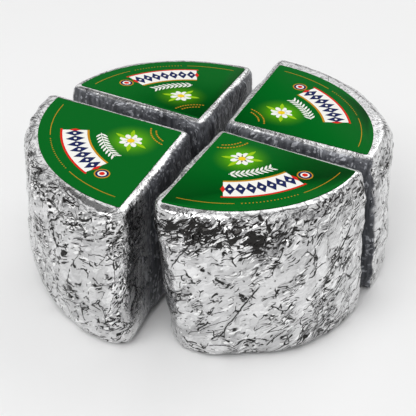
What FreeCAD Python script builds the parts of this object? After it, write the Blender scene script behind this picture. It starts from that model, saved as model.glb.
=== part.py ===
import FreeCAD
import Part
import math
import os
import random

# A blue cheese wheel cut into four quarters. Each quarter is wrapped in its own crumpled
# foil and carries a sector-shaped paper label on top, and the four stand close together,
# points inward, so that they keep the shape of the wheel. Millimetres and degrees. The
# wheel's axis is Z and the quarters stand on Z = 0.

# ---- Quarter of cheese in its foil ----
wheel_height = 90.0
quarter_radius = 92.3        # from the smallest quarter's point to its curved rind
round_corner = (10.5, 9.0)   # radius of a well rounded upright edge of the rind: top and foot
wide_corner = (10.5, 19.0)   # of one that widens to the foot
neat_corner = (5.5, 8.0)     # of a neatly folded one
sharp_corner = (3.0, 3.0)    # and of the two that face each other across the narrowest slit
rind_shoulder_in = 5.2       # rounding under the label at the rind: how far in
rind_shoulder_down = 9.0     # and how far down
cut_shoulder_in = 4.2        # the same rounding along the cut faces
cut_shoulder_down = 5.5
foot_in = 5.4                # rounding of the lower edge all round: how far in
foot_up = 8.0                # and how far up
point_radius = 3.6           # upright edge at the wheel's middle
smallest_radius = 0.8        # radius that every upright edge keeps inside the roundings
rind_bulge = 1.2             # the rind stands out this far at half height
rind_tuck = 2.0              # and comes in this far at the foot
tuck_height = 34.0
lean_bearing = 158.0         # a quarter that leans does so towards here
taper_spread = 30.0          # a rind that is cut in towards a corner is so over this angle
taper_ease = 3.2             # and the rounding under the label is this much less there

# ---- Crumpled foil ----
rind_pitch = 4.2             # from fold to fold along the rind
cut_pitch = 8.8              # and along the cut faces
row_pitch = 6.1              # from row to row of folds up the wall
shoulder_rows = 3
foot_rows = 2
dent_depth = 0.9             # broad dents and swellings
dent_width = 38.0
dent_waves = 5
crease_depth = 0.8           # each fold's own step in or out
cut_face_calm = 0.5          # the cut faces are this much calmer than the rind
fold_drift = 0.22            # how far a fold strays from its even place, in pitches
pleat_depth = 0.8            # gathers under the shoulder, where the foil turns over the rind
pleat_start = 7.0            # they begin this far below the top
pleat_end = 27.0             # and end here

# ---- Paper label ----
label_thickness = 0.3
label_clearance = 0.8        # flat foil left between the label's edge and the rounding
label_corner_radius = 1.2

# ---- The four quarters ----
# point x, y; bearing of its middle; opening angle; radius and height over the smallest and over
# the wheel's; rise of its top for each millimetre along x and y; lean for each one of height
QUARTERS = {
    "left": (-13.5, -2.6, 181.1, 92.0, 0.9, 0.4, 0.0, 0.046, 0.02),
    "front": (0.3, -5.7, 267.9, 85.5, 0.0, 2.6, 0.0, 0.0, 0.06),
    "right": (5.2, 1.7, 1.1, 91.6, 5.6, 0.4, -0.011, 0.011, 0.06),
    "back": (-4.4, 6.1, 90.4, 85.4, 1.6, -1.7, -0.047, -0.021, 0.0),
}

# first and last corner, anticlockwise, each with how far the rind is cut in there: top and foot
CORNERS = {
    "left": ((neat_corner, (0.0, 0.0)), (round_corner, (0.0, 0.0))),
    "front": ((wide_corner, (2.0, 2.0)), (sharp_corner, (5.0, 1.5))),
    "right": ((sharp_corner, (8.0, 3.0)), (neat_corner, (3.0, 3.0))),
    "back": ((neat_corner, (3.5, 3.5)), (neat_corner, (4.5, 4.5))),
}


def unit(angle):
    """Level direction at an angle in radians from +X."""
    return FreeCAD.Vector(math.cos(angle), math.sin(angle), 0)


def between(first, last, share):
    return first + (last - first) * share


def fade(share):
    """Goes smoothly from one to nothing while the share goes from nothing to one."""
    share = min(max(share, 0), 1)
    return 1 - share * share * (3 - 2 * share)


class Outline:
    """Plan of a quarter with its point at the origin and its middle along +X.

    The outline runs anticlockwise: a cut face, a rim corner, the rind, the other corner and
    cut face, and the point. A station on it is a number that rises by one from fold to fold.
    One that is drawn further in, by cut_in and rind_in, has the same folds. Depth is its share
    of the way from the top to the foot.
    """

    def __init__(self, opening, radius, corners, depth, cut_in, rind_in):
        self.half = math.radians(opening) / 2
        self.radius = radius - rind_in
        self.cut_in = cut_in
        self.runs = []
        first, last = (self.corner(*corner, depth, rind_in) for corner in corners)
        self.add_cut_face(-1, first)
        self.add_corner(-1, first)
        self.runs.append((self.folds_in(2 * self.half * quarter_radius), self.rind(first, last)))
        self.add_corner(1, last)
        self.add_cut_face(1, last)
        self.add_point()
        self.folds = sum(folds for folds, place in self.runs)

    def folds_in(self, length):
        return max(1, round(length / rind_pitch))

    def corner(self, radii, tapers, depth, rind_in):
        """Folds, radius, distance of its middle from the origin, bearing, and taper of the rind."""
        radius = max(between(*radii, depth) - rind_in, smallest_radius)
        taper = max(between(*tapers, depth) - taper_ease * rind_in / rind_shoulder_in, 0)
        reach = self.radius - taper - radius
        bearing = self.half - math.asin((self.cut_in + radius) / reach)
        return self.folds_in(radii[0] * math.pi / 2), radius, reach, bearing, taper

    def add_cut_face(self, side, corner):
        """Straight run, outward from the point on side -1 and back to it on side 1."""
        folds, radius, reach, bearing, taper = corner
        face = unit(side * self.half)
        outward = unit(side * (self.half + math.pi / 2))
        near = face * ((self.cut_in + self.tip_radius()) / math.tan(self.half)) - outward * self.cut_in
        far = face * (reach * math.cos(self.half - bearing)) - outward * self.cut_in
        start, end = (near, far) if side < 0 else (far, near)
        cut_folds = round((quarter_radius - point_radius) / cut_pitch)
        self.runs.append((cut_folds, lambda share: (between(start, end, share), outward, 0)))

    def add_corner(self, side, corner):
        folds, radius, reach, bearing, taper = corner
        middle = unit(side * bearing) * reach
        at_rind, at_cut = side * bearing, side * (self.half + math.pi / 2)
        if side < 0:
            self.add_arc(middle, radius, (at_cut, at_rind), (0, 1), folds)
        else:
            self.add_arc(middle, radius, (at_rind, at_cut), (1, 0), folds)

    def rind(self, first, last):
        start, end = -first[3], last[3]
        spread = math.radians(taper_spread)

        def place(share):
            turn = between(start, end, share)
            taper = first[4] * fade((turn - start) / spread) + last[4] * fade((end - turn) / spread)
            return unit(turn) * (self.radius - taper), unit(turn), 1
        return place

    def tip_radius(self):
        return max(point_radius - self.cut_in, smallest_radius)

    def add_point(self):
        radius = self.tip_radius()
        middle = FreeCAD.Vector((self.cut_in + radius) / math.sin(self.half), 0, 0)
        turn = self.half + math.pi / 2
        folds = self.folds_in(point_radius * math.pi / 2)
        self.add_arc(middle, radius, (turn, 2 * math.pi - turn), (0, 0), folds)

    def add_arc(self, middle, radius, turns, rind_shares, folds):
        def place(share):
            outward = unit(between(*turns, share))
            return middle + outward * radius, outward, between(*rind_shares, share)
        self.runs.append((folds, place))

    def at(self, station):
        """Place and outward direction at a station, and how much it belongs to the rind."""
        station %= self.folds
        for folds, place in self.runs:
            if station <= folds:
                return place(station / folds)
            station -= folds


class Foil:
    """Relief of one quarter's foil: the wheel's own barrel form, dents, creases and pleats."""

    def __init__(self, seed, height, foot_shift):
        self.random = random.Random(seed)
        self.height = height
        self.foot_shift = foot_shift
        self.waves = [self.wave() for _ in range(dent_waves)]

    def wave(self):
        turn = self.random.uniform(0, 2 * math.pi)
        rise = self.random.uniform(-0.8, 0.8)
        direction = (unit(turn) + FreeCAD.Vector(0, 0, rise)).normalize()
        return direction * (2 * math.pi / dent_width), self.random.uniform(0, 2 * math.pi)

    def stray(self):
        return self.random.uniform(-fold_drift, fold_drift)

    def barrel(self, z):
        middle = 2 * z / self.height - 1
        tuck = max(0, 1 - z / tuck_height) ** 2
        return rind_bulge * (1 - middle ** 2) - rind_tuck * tuck

    def pleat(self, z, fold, rind):
        share = (self.height - z - pleat_start) / (pleat_end - pleat_start)
        if share < 0 or share > 1:
            return 0
        return rind * pleat_depth * math.sin(math.pi * share) * (-1) ** fold

    def outward(self, place, fold, rind):
        """How far the foil stands out from the plain outline."""
        dents = sum(math.sin(direction.dot(place) + phase) for direction, phase in self.waves)
        creases = crease_depth * self.random.uniform(-1, 1) * between(cut_face_calm, 1, rind)
        return self.pleat(place.z, fold, rind) + creases + dent_depth * dents / math.sqrt(dent_waves)


def rows_of_foil(height):
    """Rows from the sole to the seat: (part of the wall, share of that part, how loose)."""
    wall_rows = round((height - foot_up - rind_shoulder_down) / row_pitch)
    rows = [("foot", row / foot_rows, 0.6 if row else 0) for row in range(foot_rows)]
    rows += [("wall", row / wall_rows, 1) for row in range(wall_rows + 1)]
    rows += [("shoulder", row / shoulder_rows, 0.5) for row in range(1, shoulder_rows)]
    return rows + [("seat", 1, 0)]


def row_insets(part, share):
    """How far a row lies inside the outline, at the cut faces and at the rind."""
    turn = share * math.pi / 2
    if part == "foot":
        inward = foot_in * (1 - math.sin(turn))
        return inward, inward
    if part == "wall":
        return 0, 0
    rounding = 1 - math.cos(turn)
    return cut_shoulder_in * rounding, rind_shoulder_in * rounding


def row_height(part, share, top, rind):
    turn = share * math.pi / 2
    if part == "foot":
        return foot_up * (1 - math.cos(turn))
    shoulder_down = between(cut_shoulder_down, rind_shoulder_down, rind)
    if part == "wall":
        return between(foot_up, top - shoulder_down, share)
    return top - shoulder_down * (1 - math.sin(turn))


def foil_point(outline, foil, row, fold, half_step, top_at):
    part, share, looseness = row
    station = fold + half_step + foil.stray() * looseness
    place, outward, rind = outline.at(station)
    if part == "wall" and 0 < share < 1:
        share += foil.stray() * row_pitch / foil.height
    place += FreeCAD.Vector(0, 0, row_height(part, share, top_at(place), rind))
    place += outward * (looseness * foil.outward(place, fold, rind))
    if part == "seat":
        place.z = top_at(place)
    return place + foil.foot_shift * (top_at(place) - place.z)


def wrap(opening, radius, corners, foil, top_at):
    """Closed foil skin: zigzag rows of folds, with every other row half a fold further on."""
    rows = rows_of_foil(foil.height)
    points = []
    for index, row in enumerate(rows):
        part, share, looseness = row
        level = row_height(part, share, foil.height, 1)
        outline = Outline(opening, radius + foil.barrel(level), corners, 1 - level / foil.height,
                          *row_insets(part, share))
        folds = outline.folds
        points += [foil_point(outline, foil, row, fold, 0.5 * (index % 2), top_at)
                   for fold in range(folds)]
    facets = []
    for lower in range(len(rows) - 1):
        ahead = lower % 2
        for fold in range(folds):
            follower = (fold + 1) % folds
            a, b = lower * folds + fold, lower * folds + follower
            c, d = a + folds, b + folds
            facets += [(a, d, c), (a, b, d)] if ahead else [(a, b, c), (b, d, c)]
    skin = [Part.Face(Part.makePolygon([points[i] for i in (*facet, facet[0])])) for facet in facets]
    sole = points[:folds]
    seat = points[-folds:]
    skin += [Part.Face(Part.makePolygon(rim + rim[:1])) for rim in (sole, seat)]
    shell = Part.Compound(skin)
    shell.sewShape()
    return Part.makeSolid(shell)


def label(opening):
    """Sector of printed paper whose edges stay clear of the foil's rounded edges."""
    half = math.radians(opening) / 2
    apex = FreeCAD.Vector((cut_shoulder_in + label_clearance) / math.sin(half), 0, 0)
    radius = quarter_radius - rind_shoulder_in - label_clearance - apex.x
    first, middle, last = (apex + unit(turn) * radius for turn in (-half, 0, half))
    edges = [Part.makeLine(apex, first), Part.Arc(first, middle, last).toShape(),
             Part.makeLine(last, apex)]
    paper = Part.Face(Part.Wire(edges)).extrude(FreeCAD.Vector(0, 0, label_thickness))
    upright = [edge for edge in paper.Edges if edge.BoundBox.ZLength > label_thickness / 2]
    return paper.makeFillet(label_corner_radius, upright)


def quarter(name, seed):
    """One wrapped quarter and its label, standing at their place in the wheel."""
    point_x, point_y, bearing, opening, extra_radius, extra_height, *slopes = QUARTERS[name]
    rise_x, rise_y, lean = slopes
    height = wheel_height + extra_height
    turned = FreeCAD.Rotation(FreeCAD.Vector(0, 0, 1), bearing)
    rise = turned.inverted().multVec(FreeCAD.Vector(rise_x, rise_y, 0))
    foil = Foil(seed, height, unit(math.radians(lean_bearing - bearing)) * -lean)
    radius = quarter_radius + extra_radius
    wrapped = wrap(opening, radius, CORNERS[name], foil, lambda place: height + rise.dot(place))
    paper = label(opening)
    tilt = FreeCAD.Rotation(FreeCAD.Vector(0, 0, 1), FreeCAD.Vector(-rise.x, -rise.y, 1))
    seat = FreeCAD.Placement(FreeCAD.Vector(0, 0, height), tilt)
    stand = FreeCAD.Placement(FreeCAD.Vector(point_x, point_y, 0), turned)
    wrapped.Placement = stand
    paper.Placement = stand * seat
    return wrapped, paper


os.makedirs("parts", exist_ok=True)
for number, quarter_name in enumerate(QUARTERS, 1):
    wrapped_cheese, paper_label = quarter(quarter_name, number)
    wrapped_cheese.exportStep("parts/quarter_" + quarter_name + ".step")
    paper_label.exportStep("parts/label_" + quarter_name + ".step")
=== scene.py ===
import math
import bpy
from mathutils import Matrix, Vector


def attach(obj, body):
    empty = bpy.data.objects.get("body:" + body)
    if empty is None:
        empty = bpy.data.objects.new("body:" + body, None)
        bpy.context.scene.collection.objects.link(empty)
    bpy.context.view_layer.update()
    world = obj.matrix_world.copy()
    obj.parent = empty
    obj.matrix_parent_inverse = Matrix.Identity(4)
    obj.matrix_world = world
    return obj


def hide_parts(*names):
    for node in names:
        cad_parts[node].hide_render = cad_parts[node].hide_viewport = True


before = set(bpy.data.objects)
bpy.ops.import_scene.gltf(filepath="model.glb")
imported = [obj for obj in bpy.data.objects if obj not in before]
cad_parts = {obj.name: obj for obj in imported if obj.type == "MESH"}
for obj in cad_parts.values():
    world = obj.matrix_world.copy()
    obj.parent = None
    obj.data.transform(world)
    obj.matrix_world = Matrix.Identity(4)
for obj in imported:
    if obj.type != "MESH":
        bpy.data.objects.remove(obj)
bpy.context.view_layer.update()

MM = 0.001
QUARTERS = ("left", "front", "right", "back")

# ---- Foil sizes, in millimetres and degrees ----
foil_grain = 0.78              # how finely the crumpled foil is meshed
rind_radius = 97.0             # the folds' pattern is laid out along a rind of this radius
seam_bearing = 136.0           # the pattern begins and ends here, inside a slit
pattern_bend = (30, 16)        # broad bends of the pattern: width, reach
pattern_wobble = (6, 2.2)      # small bends of the pattern: width, reach
band_depth = 31                # the crinkled band under the rim ends at most this far down
band_raggedness = 26           # and up to this much higher
patch_width = 17               # further crinkled patches are about this wide
foot_height = 15               # crinkles begin again below this height
tight_middle = (-34, -92, 76)  # the tightest crinkles lie round this place
tight_reach = (14, 44)         # their full and their last distance from it
easy_way = (0.95, 0.3, 0)      # foil is smoother towards this side
easy_reach = (55, 80)          # it begins and is complete this far along
lit_reach = (74, 100)          # by the front left slit the painted shade on the slit faces fades out over this
fold_wobble = (5, 1.8)         # small bends of the long folds: width, reach
LONG_FOLDS = (
    # bearing and height at one end, bearing and height at the other, half width
    (298.0, 70.0, 284.5, 36.0, 0.75),
    (247.5, 92.0, 235.5, 56.0, 0.5),
    (264.0, 52.0, 251.0, 14.0, 0.6),
    (277.0, 6.0, 281.5, 15.0, 0.6),
    (266.5, 9.0, 273.0, 20.0, 0.5),
)

# ---- Label and print sizes, in millimetres and degrees ----
paper_thickness = 0.3
ink_thickness = 0.09
ink_step = 0.02                # each layer of ink ends this far above the one before
line_radius = 72.6             # gold line along the label's rim
line_width = 0.38
line_end = 4.5                 # degrees from the line's end to the label's side
dotted_turn = 15.0             # within this turn from the middle the line is a row of dots
dot_size = 0.75
band_radius = 59.2             # middle of the arched white band
band_width = 13.6
band_turn = 19.5
edge_width = 1.2               # of its red and gold edges
lozenge_size = (10.6, 5.6)     # navy lozenges on the band
eye_size = 1.7                 # white eye of a lozenge
red_tip_width = 2.6            # of the red lozenges at the band's ends
sprig_radius = 44.6
sprig_turn = 16.0
stem_width = 0.45
sprig_leaf_size = (3.9, 1.25)
sprig_leaf_slant = 44.0
sprig_leaf_off = 1.6           # from the stem to a leaf's middle
sprig_leaf_ahead = 1.3         # degrees from the pair's place to a leaf's middle
flower_radius = 30.0
petal_length = 5.6
petal_width = 3.3
flower_leaf_size = (6.4, 2.4)
flower_eye_size = 4.2
glow_reach = (17, 3)           # the glow begins and is complete this far from the flower
word_radii = (17.4, 14.4)      # two short rows of gold dashes by the apex
dash_pitch = 1.75
dash_size = (1.1, 0.85)
seal_radius = 4.3              # ringed disc beside the band
seal_turn = 25.5
seal_shares = (0.84, 0.56, 0.36)   # its inner discs, as shares of its radius
strip_step = 1.5               # degrees for each step of a bent strip

# ---- Studio: floor, lamps and camera, in metres, watts and degrees ----
floor_radius = 6.0
floor_drop = 0.0002
lamp_size = 1.4
LAMPS = (("key", (-0.9, -0.7, 1.5), 19.0), ("fill", (1.0, 0.5, 1.4), 7.5))
camera_azimuth = -22.0
camera_elevation = 33.2
camera_roll = 2.3
camera_aim = (-0.0107, -0.0214, 0.05)
camera_distance = 0.627
sensor_width = 36              # millimetres
lens_length = 96.0             # millimetres


# ---- Small helpers ----
def choose(*objects):
    """Leave object mode and make these the only selected objects, the first one active."""
    if bpy.context.object and bpy.context.object.mode != "OBJECT":
        bpy.ops.object.mode_set(mode="OBJECT")
    bpy.ops.object.select_all(action="DESELECT")
    for thing in objects:
        thing.select_set(True)
    if objects:
        bpy.context.view_layer.objects.active = objects[0]


def edit_all(thing):
    """Enter edit mode with everything selected."""
    choose(thing)
    bpy.ops.object.mode_set(mode="EDIT")
    bpy.ops.mesh.select_all(action="SELECT")


def edit_where(thing, wanted):
    """Enter edit mode with only those vertices selected whose place is wanted."""
    edit_all(thing)
    bpy.ops.mesh.select_mode(type="VERT")
    bpy.ops.mesh.select_all(action="DESELECT")
    bpy.ops.object.mode_set(mode="OBJECT")
    for vertex in thing.data.vertices:
        vertex.select = wanted(vertex.co)
    bpy.ops.object.mode_set(mode="EDIT")


def apply_modifiers(thing):
    """Apply every modifier in its order."""
    choose(thing)
    for modifier in list(thing.modifiers):
        bpy.ops.object.modifier_apply(modifier=modifier.name)


def join(first, *others):
    """Make several objects one, under the first one's name."""
    choose(first, *others)
    if others:
        bpy.ops.object.join()
    return first


def settle(thing, spot, turn=0.0, size=(1, 1, 1)):
    """Size, turn and move a new primitive, and put that in its mesh."""
    choose(thing)
    thing.scale = size
    thing.rotation_euler.z = math.radians(turn)
    thing.location = spot
    bpy.ops.object.transform_apply(location=True, rotation=True, scale=True)
    return thing


def on_circle(radius, turn, height=0.0):
    """Place on a circle round the middle, or round a label's apex, at a turn in degrees."""
    return Vector((radius * math.cos(math.radians(turn)), radius * math.sin(math.radians(turn)), height))


class Graph:
    """Adds nodes to a tree. A value is another node's output or a plain number or vector."""

    def __init__(self, tree):
        self.tree = tree

    def node(self, kind, inputs=(), **settings):
        """A new node with these settings and inputs."""
        made = self.tree.nodes.new(kind)
        for key, value in settings.items():
            setattr(made, key, value)
        for key, value in dict(inputs).items():
            if isinstance(value, bpy.types.NodeSocket):
                self.tree.links.new(value, made.inputs[key])
            else:
                made.inputs[key].default_value = value
        return made

    def math(self, operation, *values):
        """Result of one operation on numbers."""
        return self.node("ShaderNodeMath", enumerate(values), operation=operation).outputs[0]

    def add(self, first, *others):
        """Sum of all the values."""
        for other in others:
            first = self.math("ADD", first, other)
        return first

    def times(self, first, *others):
        """Product of all the values."""
        for other in others:
            first = self.math("MULTIPLY", first, other)
        return first

    def most(self, first, *others):
        """The greatest of the values."""
        for other in others:
            first = self.math("MAXIMUM", first, other)
        return first

    def vector(self, operation, *values):
        """Result of one operation on vectors."""
        made = self.node("ShaderNodeVectorMath", enumerate(values), operation=operation)
        return made.outputs["Value" if operation in ("DOT_PRODUCT", "LENGTH") else "Vector"]

    def scaled(self, vector, factor):
        """A vector times a number."""
        made = self.node("ShaderNodeVectorMath", {0: vector, "Scale": factor}, operation="SCALE")
        return made.outputs["Vector"]

    def axes(self, vector):
        """The three parts of a vector."""
        return self.node("ShaderNodeSeparateXYZ", {0: vector}).outputs

    def noise(self, place, width, detail=2.0, output="Fac"):
        """Noise whose blotches are about as wide as given."""
        values = {"Vector": place, "Scale": 1 / width, "Detail": detail}
        return self.node("ShaderNodeTexNoise", values).outputs[output]

    def edges(self, place, width):
        """Distance to the nearest edge of cells about as wide as given, in the place's units."""
        values = {"Vector": place, "Scale": 1 / width}
        made = self.node("ShaderNodeTexVoronoi", values, feature="DISTANCE_TO_EDGE")
        return self.times(made.outputs["Distance"], width)

    def cell_value(self, place, width):
        """One value from nothing to one for each cell about as wide as given."""
        colour = self.node("ShaderNodeTexVoronoi", {"Vector": place, "Scale": 1 / width}).outputs["Color"]
        return self.axes(colour)[0]

    def ramp(self, value, low, high, to_low=0.0, to_high=1.0, smooth=True):
        """A value that goes from to_low to to_high while the given one goes from low to high."""
        values = {"Value": value, "From Min": low, "From Max": high, "To Min": to_low, "To Max": to_high}
        kind = "SMOOTHSTEP" if smooth else "LINEAR"
        return self.node("ShaderNodeMapRange", values, interpolation_type=kind).outputs["Result"]

    def mix(self, share, first, second):
        """Colour that goes from the first to the second."""
        made = self.node("ShaderNodeMix", {"Factor": share}, data_type="RGBA")
        for socket, value in zip([s for s in made.inputs if s.type == "RGBA"], (first, second)):
            if isinstance(value, bpy.types.NodeSocket):
                self.tree.links.new(value, socket)
            else:
                socket.default_value = (*value, 1.0)
        return next(s for s in made.outputs if s.type == "RGBA")


def new_material(name):
    """A new material, the graph of its nodes and its shader."""
    material = bpy.data.materials.new(name)
    material.use_nodes = True
    shader = material.node_tree.nodes["Principled BSDF"]
    return material, Graph(material.node_tree), shader


# ---- Folds that the foil's form and its finish share; places in millimetres ----
def stretched(g, place, direction, share):
    """The place squeezed along a direction, so that a pattern on it is drawn out that way."""
    direction = Vector(direction).normalized()
    along = g.vector("DOT_PRODUCT", place, direction)
    return g.vector("SUBTRACT", place, g.scaled(direction, g.times(along, share)))


def unrolled(g, place):
    """The place as if the rind were rolled out flat: along it, out from the middle, and up."""
    x, y, height = g.axes(place)
    seam = math.radians(180 - seam_bearing)
    turned_x = g.add(g.times(x, math.cos(seam)), g.times(y, -math.sin(seam)))
    turned_y = g.add(g.times(x, math.sin(seam)), g.times(y, math.cos(seam)))
    along = g.times(g.math("ARCTAN2", turned_y, turned_x), rind_radius)
    out = g.vector("LENGTH", g.vector("MULTIPLY", place, (1, 1, 0)))
    return g.node("ShaderNodeCombineXYZ", {0: along, 1: out, 2: height}).outputs[0]


def bent_places(g, place):
    """The rolled-out place, bent, drawn out along two slants and drawn out far along two more."""
    place = unrolled(g, place)
    bent = place
    for width, reach in (pattern_bend, pattern_wobble):
        centred = g.vector("SUBTRACT", g.noise(place, width, output="Color"), (0.5, 0.5, 0.5))
        bent = g.vector("ADD", bent, g.scaled(centred, reach))
    return (stretched(g, bent, (0.88, 0, 0.47), 0.62), stretched(g, bent, (0.52, 0.1, 0.85), 0.55),
            stretched(g, bent, (0.84, 0, 0.54), 0.82), stretched(g, bent, (0.97, 0, 0.24), 0.85))


def folds(g, where, direction, width, strength):
    """Straight folds with sharp ridges and valleys."""
    along = g.vector("DOT_PRODUCT", where, Vector(direction).normalized())
    wave = g.math("PINGPONG", along, width / 2)
    return g.times(g.math("SUBTRACT", wave, width / 4), 4 / width, strength)


def long_folds(g, place, reach):
    """How near a place lies to one of the long straight folds across the front rind, from 0 to 1."""
    width, bend = fold_wobble
    wobble = g.times(g.add(g.noise(place, width), -0.5), bend)
    nearness = []
    for start_bearing, start_height, end_bearing, end_height, breadth in LONG_FOLDS:
        start = on_circle(rind_radius, start_bearing, start_height)
        end = on_circle(rind_radius, end_bearing, end_height)
        line = end - start
        outward = Vector((start.x + end.x, start.y + end.y, 0)).normalized()
        from_start = g.vector("SUBTRACT", place, start)
        share = g.times(g.vector("DOT_PRODUCT", from_start, line), 1 / line.length_squared)
        across = g.vector("DOT_PRODUCT", from_start, line.cross(outward).normalized())
        away = g.math("ABSOLUTE", g.add(across, wobble))
        ends = g.times(g.ramp(share, 0.0, 0.1), g.ramp(share, 1.0, 0.9))
        side = g.ramp(g.vector("DOT_PRODUCT", place, outward), 60, 70)
        nearness.append(g.times(g.ramp(away, breadth * reach, breadth * reach * 0.35), ends, side))
    return g.most(*nearness)


# ---- Crumpled foil ----
def crumple_nodes():
    """Geometry nodes that crumple the plain foil of a quarter."""
    tree = bpy.data.node_groups.new("crumple", "GeometryNodeTree")
    sockets = (("Foil", "INPUT", "Geometry"), ("Seat", "INPUT", "Vector"),
               ("Seat normal", "INPUT", "Vector"), ("Foil", "OUTPUT", "Geometry"))
    for name, way, kind in sockets:
        tree.interface.new_socket(name, in_out=way, socket_type="NodeSocket" + kind)
    g = Graph(tree)
    given = g.node("NodeGroupInput")
    position = g.node("GeometryNodeInputPosition").outputs[0]
    normal = g.node("GeometryNodeInputNormal").outputs[0]
    place = g.scaled(position, 1 / MM)
    down = g.scaled(g.vector("SUBTRACT", given.outputs["Seat"], position), 1 / MM)
    depth = g.vector("DOT_PRODUCT", down, given.outputs["Seat normal"])
    up = g.vector("DOT_PRODUCT", normal, given.outputs["Seat normal"])
    level = g.axes(normal)[2]
    x, y, height = g.axes(place)
    flat = g.vector("MULTIPLY", place, (1, 1, 0))
    facing = g.vector("DOT_PRODUCT", g.vector("NORMALIZE", flat), normal)

    # Where the foil is loose, where it is crinkled, and which of it faces a slit and is painted in shade
    loose = g.times(g.ramp(up, 0.985, 0.7), g.ramp(level, -0.97, -0.7))
    rind = g.ramp(facing, 0.3, 0.8)
    band_end = g.add(band_depth, g.times(g.noise(place, 24, detail=1), -band_raggedness))
    band = g.times(g.ramp(depth, 0.6, 6.0), g.ramp(g.math("SUBTRACT", depth, band_end), 8.0, -4.0))
    patches = g.ramp(g.noise(place, patch_width), 0.46, 0.62)
    foot = g.times(g.ramp(height, foot_height, 3), 0.1)
    from_tight = g.vector("LENGTH", g.vector("SUBTRACT", place, tight_middle))
    near_tight = g.ramp(from_tight, *tight_reach, 1.0, 0.0)
    easy = g.ramp(g.vector("DOT_PRODUCT", place, easy_way), *easy_reach, 1.0, 0.4)
    crinkled = g.add(g.times(band, g.add(0.32, g.times(near_tight, 0.5))), foot,
                     g.times(patches, 0.42), 0.05)
    crinkled = g.math("MINIMUM", g.times(crinkled, easy), 1.0)
    holes = g.ramp(g.noise(g.vector("MULTIPLY", place, (1, 1, 1.8)), 13), 0.44, 0.58)
    # Where the crinkles are tightest; the finish paints deep shade there
    tight_crinkle_shade = g.times(near_tight, band, holes)
    streaks = g.noise(g.vector("MULTIPLY", place, (1, 1, 0.12)), 3.0)
    outward = g.add(g.vector("LENGTH", flat), g.times(streaks, 16))
    front_left = g.times(g.ramp(x, -30, -40), g.ramp(y, -30, -40))
    lit = g.times(g.ramp(outward, *lit_reach), front_left)
    turned = g.add(up, g.times(g.add(g.noise(place, 2.5), -0.5), 0.35))
    # Faces towards a slit get painted shade, which fades out near the front left slit where that face is
    # lit
    cut = g.times(g.ramp(facing, 0.75, 0.35), g.ramp(turned, 0.9, 0.66), g.math("SUBTRACT", 1.0, lit))

    # Broad folds, facets between ridges, and fine crinkles
    first, second = bent_places(g, place)[:2]
    broad = g.add(folds(g, first, (0.8, 0.3, 0.55), 31, 0.5), folds(g, second, (-0.5, 0.8, 0.6), 23, 0.4),
                  folds(g, second, (0.3, -0.5, 0.9), 37, 0.5))
    middle = g.add(g.times(g.ramp(g.edges(first, 15), 0, 4, smooth=False), 0.75),
                   g.times(g.ramp(g.edges(second, 8.5), 0, 2.6, smooth=False), -0.5))
    fine = g.add(g.times(g.ramp(g.edges(first, 4.4), 0, 1.5, smooth=False), 0.5),
                 g.times(g.ramp(g.edges(second, 2.9), 0, 1.1, smooth=False), -0.4))
    relief = g.add(broad, g.times(middle, g.add(0.45, g.times(crinkled, 0.55))),
                   g.times(fine, g.add(0.1, crinkled)), g.times(long_folds(g, place, 3.5), -0.6), -0.2)
    calm = g.times(g.add(0.35, g.times(rind, 0.65)), g.add(0.3, g.times(easy, 0.7)))

    # What the finish needs is kept on the foil before it moves
    foil = given.outputs["Foil"]
    for name, kind, value in (("plain", "FLOAT_VECTOR", place), ("crinkled", "FLOAT", crinkled),
                              ("cut", "FLOAT", cut), ("loose", "FLOAT", loose), ("tight_crinkle_shade", "FLOAT", tight_crinkle_shade)):
        store = g.node("GeometryNodeStoreNamedAttribute", {"Geometry": foil, "Name": name},
                       data_type=kind, domain="POINT")
        tree.links.new(value, next(s for s in store.inputs if s.name == "Value" and s.enabled))
        foil = store.outputs[0]
    push = g.scaled(normal, g.times(relief, loose, calm, MM))
    moved = g.node("GeometryNodeSetPosition", {"Geometry": foil, "Offset": push}).outputs[0]

    # Nothing goes below the table
    x, y, height = g.axes(g.node("GeometryNodeInputPosition").outputs[0])
    held = g.node("ShaderNodeCombineXYZ", {0: x, 1: y, 2: g.most(height, 0.0)}).outputs[0]
    stood = g.node("GeometryNodeSetPosition", {"Geometry": moved, "Position": held})
    result = g.node("NodeGroupOutput")
    tree.links.new(stood.outputs[0], result.inputs[0])
    return tree


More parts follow.
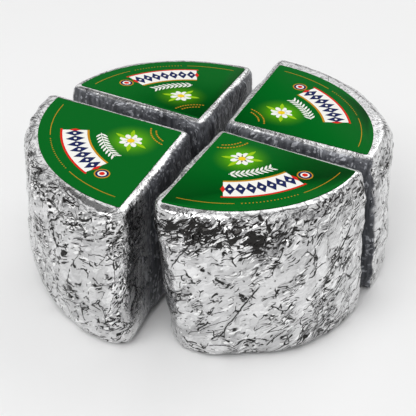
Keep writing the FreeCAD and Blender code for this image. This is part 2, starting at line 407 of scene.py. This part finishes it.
def foil_finish():
    """Bright foil with painted reflections: grey facets, painted highlights, thin creases painted dark as
    shade, and painted shade on the faces along the slits.
    """
    material, g, shader = new_material("bright foil")
    place = g.node("ShaderNodeAttribute", attribute_name="plain").outputs["Vector"]
    crinkled, cut, loose, tight_crinkle_shade = [g.node("ShaderNodeAttribute", attribute_name=name).outputs["Fac"]
                                   for name in ("crinkled", "cut", "loose", "tight_crinkle_shade")]
    first, second, slivers, splinters = bent_places(g, place)

    # Painted reflections: facets greyer or whiter than their neighbours
    painted_reflection_tones = g.add(g.times(g.cell_value(first, 9), 0.2), g.times(g.cell_value(second, 4.6), 0.24),
                  g.times(g.cell_value(slivers, 1.3), g.add(0.06, g.times(crinkled, 0.5))),
                  g.times(g.cell_value(splinters, 0.9), g.add(0.06, g.times(crinkled, 0.3))))
    slack = g.add(0.6, g.times(loose, 0.4))
    silver_and_painted_reflections = g.mix(g.times(painted_reflection_tones, slack), (0.97, 0.97, 0.975), (0.10, 0.10, 0.105))

    # Painted highlights and painted shade: bright and dark slivers where the foil turns over and under,
    # more where it is crinkled
    def slivered(width, where, most, least):
        """Cells whose value passes a limit: most where the foil is calm, least where it is crinkled."""
        limit = g.add(most, g.times(crinkled, least - most))
        return g.ramp(g.math("SUBTRACT", g.cell_value(where, width), limit), 0.0, 0.04)

    painted_highlights = g.most(slivered(1.2, slivers, 0.97, 0.7), slivered(1.6, second, 0.99, 0.85))
    painted_dark_slivers = g.most(slivered(1.0, g.vector("ADD", slivers, (50, 20, 0)), 1.0, 0.7),
                  slivered(0.8, g.vector("ADD", splinters, (0, 50, 0)), 1.0, 0.76),
                  slivered(1.2, g.vector("ADD", second, (20, 0, 50)), 1.03, 0.86))

    # Thin creases painted dark as shade: long ones, sparse; short ones wherever the foil is crinkled
    broken = g.ramp(g.noise(place, 9), 0.49, 0.53)
    gaps = g.ramp(g.noise(place, 3.5), 0.47, 0.53)
    long_lines = g.times(g.ramp(g.edges(first, 17), 0.34, 0.14), broken)
    mid_lines = g.times(g.ramp(g.edges(second, 9), 0.32, 0.12), gaps)
    low_gaps = g.ramp(g.noise(place, 8), 0.5, 0.56)
    low_lines = g.times(g.ramp(g.edges(splinters, 3.2), 0.26, 0.1), gaps, low_gaps)
    shown = g.ramp(crinkled, 0.15, 0.6)
    short_lines = g.times(g.ramp(g.edges(first, 3.6), 0.28, 0.1), gaps, g.add(0.15, shown))
    # Painted deep shade in the tightest crinkles
    painted_deep_shade = g.most(g.ramp(g.add(g.cell_value(slivers, 1.9), g.times(tight_crinkle_shade, 0.62)), 1.0, 1.04),
                  g.ramp(g.add(g.cell_value(first, 2.6), g.times(tight_crinkle_shade, 0.5)), 1.0, 1.04))
    # All the painted crease shade together, with the long folds painted dark too
    lines = g.most(g.times(g.most(long_lines, mid_lines, low_lines, short_lines, painted_dark_slivers, painted_deep_shade), slack),
                   long_folds(g, place, 1.0))
    # Painted highlights on the loose foil
    with_painted_highlights = g.mix(g.times(painted_highlights, loose), silver_and_painted_reflections, (0.97, 0.97, 0.97))
    # Painted crease shade laid over the rest
    with_painted_crease_shade = g.mix(lines, with_painted_highlights, (0.03, 0.029, 0.028))

    # Along the slits the foil is painted in shade, streaked up and down and lightly flecked with painted
    # glints
    streaks = g.noise(g.vector("MULTIPLY", place, (1, 1, 0.12)), 2.2)
    painted_slit_shade = g.mix(g.ramp(streaks, 0.35, 0.7), (0.055, 0.058, 0.066), (0.135, 0.14, 0.157))
    painted_slit_glints = g.most(slivered(1.5, g.vector("ADD", second, (70, 0, 0)), 0.9, 0.9),
                    slivered(1.0, g.vector("ADD", slivers, (0, 70, 0)), 0.93, 0.93))
    painted_slit_shade = g.mix(painted_slit_glints, painted_slit_shade, (0.36, 0.37, 0.40))
    g.tree.links.new(g.mix(cut, with_painted_crease_shade, painted_slit_shade), shader.inputs["Base Color"])
    # The painted slit shade is also made less metallic and rougher, so that it stays dark
    g.tree.links.new(g.add(1.0, g.times(cut, -0.75)), shader.inputs["Metallic"])
    rough = g.add(0.1, g.times(g.noise(place, 9), 0.14), g.times(cut, 0.25))
    g.tree.links.new(rough, shader.inputs["Roughness"])

    # Wrinkles too fine for the mesh
    steps = g.add(g.times(g.edges(first, 4.4), 0.14), g.times(g.edges(second, 2.9), -0.16),
                  g.times(g.edges(slivers, 1.5), 0.25))
    height = g.times(steps, g.add(0.25, g.times(crinkled, 0.9)), g.add(0.45, g.times(loose, 0.55)))
    bump = g.node("ShaderNodeBump", {"Height": height, "Strength": 1.0, "Distance": MM})
    g.tree.links.new(bump.outputs[0], shader.inputs["Normal"])
    return material


def wrap_in_foil(name, seat, crumple, finish):
    """The foil of one quarter: its plain form, meshed finely, rounded and crumpled."""
    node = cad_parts["quarter_" + name]
    foil = bpy.data.objects.new("foil_" + name, node.data.copy())
    bpy.context.collection.objects.link(foil)
    edit_all(foil)
    bpy.ops.mesh.remove_doubles(threshold=0.01 * MM)
    bpy.ops.object.mode_set(mode="OBJECT")
    remesh = foil.modifiers.new("fine mesh", "REMESH")
    remesh.mode = "VOXEL"
    remesh.voxel_size = foil_grain * MM
    soft = foil.modifiers.new("soft facets", "SMOOTH")
    soft.factor = 0.5
    soft.iterations = 8
    apply_modifiers(foil)
    worked = foil.modifiers.new("crumple", "NODES")
    worked.node_group = crumple
    inputs = {s.name: s.identifier for s in crumple.interface.items_tree if s.in_out == "INPUT"}
    worked[inputs["Seat"]] = seat.apex - seat.normal * paper_thickness * MM
    worked[inputs["Seat normal"]] = seat.normal
    apply_modifiers(foil)
    foil.data.materials.clear()
    foil.data.materials.append(finish)
    choose(foil)
    bpy.ops.object.shade_smooth()
    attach(foil, "root")
    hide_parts("quarter_" + name)


# ---- Paper labels ----
class Seat:
    """Where a label's print goes: its apex, middle line and normal, and half its opening."""

    def __init__(self, paper):
        mesh = paper.data
        top = max((face for face in mesh.polygons if face.normal.z > 0.9), key=lambda face: face.area)
        rim = [mesh.vertices[index].co for index in top.vertices]
        sides = sorted(zip(rim, rim[1:] + rim[:1]), key=lambda side: (side[1] - side[0]).length)[-2:]
        lines = []
        for side in sides:
            near, far = sorted(side, key=lambda place: place.to_2d().length)
            lines.append((near, (far - near).normalized()))
        (near, out), (other_near, other_out) = lines
        self.normal = top.normal.copy()
        self.along = (out + other_out).normalized()
        self.half = math.degrees(out.angle(other_out)) / 2
        across = self.normal.cross(self.along)
        gap = abs((other_near - near).dot(across)) / 2
        middle = (near + other_near) / 2
        self.apex = middle - self.along * gap / math.tan(math.radians(self.half))
        axes = Matrix((self.along, across, self.normal)).transposed().to_4x4()
        self.matrix = Matrix.Translation(self.apex) @ axes @ Matrix.Scale(MM, 4)


def paper_finish():
    """Deep green satin paper with a bright glow behind the flower."""
    material, g, shader = new_material("green label paper")
    plan = g.node("ShaderNodeUVMap", uv_map="plan").outputs[0]
    place = g.scaled(plan, 100.0)
    from_flower = g.vector("LENGTH", g.vector("SUBTRACT", place, (flower_radius, 0, 0)))
    mottled = g.noise(place, 0.8, detail=3)
    green = g.mix(mottled, (0.0, 0.112, 0.010), (0.0, 0.126, 0.013))
    glow = g.math("POWER", g.ramp(from_flower, *glow_reach, smooth=False), 1.6)
    g.tree.links.new(g.mix(glow, green, (0.13, 0.46, 0.0)), shader.inputs["Base Color"])
    g.tree.links.new(g.ramp(mottled, 0.3, 0.7, 0.42, 0.52), shader.inputs["Roughness"])
    shader.inputs["Specular IOR Level"].default_value = 0.02
    return material


def lay_paper(name, finish):
    """One label; its UV map is its own plan in tenths of a metre, from the apex."""
    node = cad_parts["label_" + name]
    paper = bpy.data.objects.new("paper_" + name, node.data.copy())
    bpy.context.collection.objects.link(paper)
    edit_all(paper)
    bpy.ops.mesh.remove_doubles(threshold=0.001 * MM)
    bpy.ops.mesh.dissolve_limited(angle_limit=math.radians(0.5))
    bpy.ops.object.mode_set(mode="OBJECT")
    seat = Seat(paper)
    for layer in list(paper.data.uv_layers):
        paper.data.uv_layers.remove(layer)
    plan = paper.data.uv_layers.new(name="plan")
    to_plan = seat.matrix.inverted()
    for loop in paper.data.loops:
        place = to_plan @ paper.data.vertices[loop.vertex_index].co
        plan.data[loop.index].uv = (place.x / 100, place.y / 100)
    paper.data.materials.clear()
    paper.data.materials.append(finish)
    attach(paper, "root")
    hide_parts("label_" + name)
    return seat


# ---- Print ----
def blade(spot, length, width, turn=0.0, corners=20, tip=0.0):
    """Flat round, lozenge with four corners, or leaf with drawn-out tips, in millimetres."""
    bpy.ops.mesh.primitive_circle_add(vertices=corners, radius=0.5, fill_type="NGON")
    shape = bpy.context.object
    if tip:
        for side in (-1, 1):
            edit_where(shape, lambda place: place.x * side > 0.49)
            bpy.ops.transform.translate(value=(side * tip, 0, 0))
        bpy.ops.object.mode_set(mode="OBJECT")
    return settle(shape, spot, turn, (length, width, 1))


def strip(radius, width, first, last):
    """Flat strip bent round the label's apex, from one turn to another in degrees."""
    sliver = 0.01
    bpy.ops.mesh.primitive_plane_add(size=1)
    shape = settle(bpy.context.object, (radius, -sliver / 2, 0), 0, (width, sliver, 1))
    edit_where(shape, lambda place: place.y > -sliver / 2)
    steps = max(2, round((last - first) / strip_step))
    bpy.ops.mesh.spin(steps=steps, angle=math.radians(first - last), center=(0, 0, 0), axis=(0, 0, 1))
    bpy.ops.object.mode_set(mode="OBJECT")
    return settle(shape, (0, 0, 0), first)


def ink(name, shapes, layer):
    """Shapes of one colour as thin solids let into the paper."""
    layer_of_ink = join(*shapes)
    layer_of_ink.name = name
    edit_all(layer_of_ink)
    bpy.ops.transform.translate(value=(0, 0, ink_step * layer))
    bpy.ops.mesh.extrude_region_move(TRANSFORM_OT_translate={"value": (0, 0, -ink_thickness)})
    bpy.ops.mesh.select_all(action="SELECT")
    bpy.ops.mesh.normals_make_consistent(inside=False)
    bpy.ops.object.mode_set(mode="OBJECT")
    return layer_of_ink


def flower_petals():
    """Eight oval petals round the flower's middle."""
    middle = Vector((flower_radius, 0, 0))
    return [blade(middle + on_circle(0.68 * petal_length, turn), petal_length, petal_width, turn)
            for turn in range(0, 360, 45)]


def flower_leaves():
    """Four pointed leaves, two to either side of the flower."""
    middle = Vector((flower_radius, 0, 0))
    return [blade(middle + on_circle(1.25 * petal_length, turn), *flower_leaf_size, turn, 12, 0.16)
            for turn in (62, 118, 242, 298)]


def sprig():
    """Bent stem with a pair of slanting leaves at each of nine places."""
    leaves = [strip(sprig_radius, stem_width, -sprig_turn, sprig_turn)]
    for step in range(-4, 5):
        for side in (-1, 1):
            turn = step * sprig_turn / 4.5
            spot = on_circle(sprig_radius + side * sprig_leaf_off, turn + sprig_leaf_ahead)
            leaves.append(blade(spot, *sprig_leaf_size, turn + 90 - side * sprig_leaf_slant, 12, 0.14))
    return leaves


def lozenge_turns():
    """Where the seven lozenges stand along the band."""
    return [step * band_turn / 3.6 for step in range(-3, 4)]


def lozenges():
    """Seven lozenges, long way across the band."""
    return [blade(on_circle(band_radius, turn), *lozenge_size, turn, 4) for turn in lozenge_turns()]


def lozenge_eyes():
    """Round eye in each lozenge."""
    return [blade(on_circle(band_radius, turn), eye_size, eye_size) for turn in lozenge_turns()]


def rim_dots():
    """Row of gold dots between the two gold lines."""
    return [blade(on_circle(line_radius, step * 1.5), dot_size, dot_size, 0, 10) for step in range(-8, 9)]


def gold_words():
    """Two short bent rows of dashes."""
    dash_length, dash_width = dash_size
    dashes = []
    for radius, count in zip(word_radii, (5, 3)):
        for step in range(-count, count + 1):
            middle = math.degrees(step * dash_pitch / radius)
            reach = math.degrees(dash_length / 2 / radius)
            dashes.append(strip(radius, dash_width, middle - reach, middle + reach))
    return dashes


def seal_disc(radius):
    """One round of the seal."""
    return [blade(on_circle(band_radius + 1.2, seal_turn), 2 * radius, 2 * radius, 0, 28)]


def common_print():
    """Everything that all the labels share, as (ink, piece)."""
    outer = band_radius + (band_width + edge_width) / 2
    inner = band_radius - (band_width + edge_width) / 2
    white = [strip(band_radius, band_width, -band_turn, band_turn)] + sprig() + flower_petals()
    red = [strip(outer, edge_width, -band_turn - 1, band_turn + 1)]
    for side in (-1, 1):
        tip = on_circle(band_radius, side * (band_turn + 0.1))
        red.append(blade(tip, band_width * 0.5, red_tip_width, side * band_turn, 4))
    gold = [strip(inner, edge_width, -band_turn, band_turn)]
    gold += gold_words() + rim_dots() + seal_disc(seal_radius)
    flower_eye = [blade((flower_radius, 0, 0), flower_eye_size, flower_eye_size)]
    navy_disc, white_disc, red_disc = [seal_disc(seal_radius * share) for share in seal_shares]
    return [
        ("white", ink("white_ink", white, 1)),
        ("red", ink("red_ink", red, 2)),
        ("gold", ink("gold_ink", gold, 2)),
        ("lime", ink("lime_ink", flower_leaves(), 2)),
        ("navy", ink("navy_ink", lozenges() + navy_disc, 3)),
        ("yellow", ink("yellow_ink", flower_eye, 3)),
        ("white", ink("small_white_ink", lozenge_eyes() + white_disc, 4)),
        ("red", ink("small_red_ink", red_disc, 5)),
    ]


def ink_finish(name, colour, darker, shine):
    """Printed ink: slightly uneven in tone, as it lies on the paper's grain."""
    material, g, shader = new_material(name + " ink")
    place = g.scaled(g.node("ShaderNodeTexCoord").outputs["Object"], 1 / MM)
    grain = g.noise(place, 0.7, detail=3)
    g.tree.links.new(g.mix(grain, colour, darker), shader.inputs["Base Color"])
    g.tree.links.new(g.ramp(grain, 0.3, 0.7, shine, shine + 0.1), shader.inputs["Roughness"])
    shader.inputs["Specular IOR Level"].default_value = 0.02
    return material


def add_print(name, seat, master, finishes):
    """Copies of the common print, and the gold line that ends short of this label's own sides."""
    end = seat.half - line_end
    lines = [strip(line_radius, line_width, *sorted((side * dotted_turn, side * end))) for side in (-1, 1)]
    pieces = [(colour, piece.name, piece.data.copy()) for colour, piece in master]
    line = ink("gold_line", lines, 1)
    pieces.append(("gold", "gold_line", line.data.copy()))
    bpy.data.objects.remove(line)
    for colour, kind, mesh in pieces:
        printed = bpy.data.objects.new(kind + "_" + name, mesh)
        bpy.context.collection.objects.link(printed)
        mesh.transform(seat.matrix)
        mesh.materials.clear()
        mesh.materials.append(finishes[colour])
        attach(printed, "root")


# ---- Floor, light and camera ----
def lay_floor():
    """Plain pale floor under the quarters."""
    choose()
    bpy.ops.mesh.primitive_circle_add(vertices=96, radius=floor_radius, fill_type="NGON",
                                      location=(0, 0, -floor_drop))
    floor = bpy.context.object
    floor.name = "floor"
    bpy.ops.object.transform_apply(location=True)
    material, g, shader = new_material("pale floor")
    place = g.node("ShaderNodeTexCoord").outputs["Object"]
    g.tree.links.new(g.mix(g.noise(place, 0.4), (0.865, 0.865, 0.865), (0.875, 0.875, 0.875)),
                     shader.inputs["Base Color"])
    shader.inputs["Roughness"].default_value = 0.9
    shader.inputs["Specular IOR Level"].default_value = 0.0
    floor.data.materials.append(material)


def light_studio():
    """Bright horizon, a broad soft box and an overhead one, with dimmer air between, and two soft lamps."""
    world = bpy.data.worlds.new("studio")
    bpy.context.scene.world = world
    world.use_nodes = True
    g = Graph(world.node_tree)
    background = world.node_tree.nodes["Background"]
    up = g.axes(g.node("ShaderNodeTexCoord").outputs["Generated"])[2]
    dim_air = 0.16
    horizon = g.times(g.ramp(up, 0.27, 0.21), 0.7)
    soft_box = g.times(g.ramp(up, 0.36, 0.44), g.ramp(up, 0.74, 0.66), 0.82)
    overhead = g.times(g.ramp(up, 0.92, 0.97), 0.8)
    g.tree.links.new(g.add(dim_air, horizon, soft_box, overhead), background.inputs["Strength"])
    background.inputs["Color"].default_value = (1, 1, 1, 1)

    for name, place, power in LAMPS:
        lamp = bpy.data.lights.new(name, "AREA")
        lamp.size = lamp_size
        lamp.energy = power
        shown = bpy.data.objects.new(name, lamp)
        shown.location = place
        shown.rotation_euler = (-Vector(place)).to_track_quat("-Z", "Y").to_euler()
        bpy.context.collection.objects.link(shown)


def set_camera():
    """Camera to the front left and above, turned a little about its own line of sight."""
    azimuth = math.radians(camera_azimuth)
    elevation = math.radians(camera_elevation)
    roll = math.radians(camera_roll)
    back = Vector((math.sin(azimuth) * math.cos(elevation), -math.cos(azimuth) * math.cos(elevation),
                   math.sin(elevation)))
    level = Vector((math.cos(azimuth), math.sin(azimuth), 0))
    up = back.cross(level)
    right = level * math.cos(roll) + up * math.sin(roll)
    up = up * math.cos(roll) - level * math.sin(roll)
    data = bpy.data.cameras.new("camera")
    data.sensor_width = sensor_width
    data.lens = lens_length
    shown = bpy.data.objects.new("camera", data)
    stand = Matrix.Translation(Vector(camera_aim) + back * camera_distance)
    shown.matrix_world = stand @ Matrix((right, up, back)).transposed().to_4x4()
    bpy.context.collection.objects.link(shown)
    bpy.context.scene.camera = shown


# ---- Everything put together ----
choose()
crumple = crumple_nodes()
bright_foil = foil_finish()
green_paper = paper_finish()
finishes = {
    "white": ink_finish("white", (0.88, 0.88, 0.84), (0.80, 0.80, 0.75), 0.45),
    "red": ink_finish("red", (0.70, 0.022, 0.012), (0.60, 0.018, 0.010), 0.42),
    "gold": ink_finish("gold", (0.58, 0.28, 0.015), (0.46, 0.21, 0.012), 0.38),
    "navy": ink_finish("navy", (0.012, 0.020, 0.10), (0.010, 0.016, 0.08), 0.42),
    "lime": ink_finish("lime", (0.34, 0.60, 0.01), (0.25, 0.48, 0.008), 0.42),
    "yellow": ink_finish("yellow", (0.85, 0.62, 0.02), (0.75, 0.52, 0.015), 0.42),
}
master_print = common_print()
for quarter in QUARTERS:
    label_seat = lay_paper(quarter, green_paper)
    wrap_in_foil(quarter, label_seat, crumple, bright_foil)
    add_print(quarter, label_seat, master_print, finishes)
for colour, piece in master_print:
    bpy.data.objects.remove(piece)
bpy.context.scene.view_settings.view_transform = "Standard"
lay_floor()
light_studio()
set_camera()
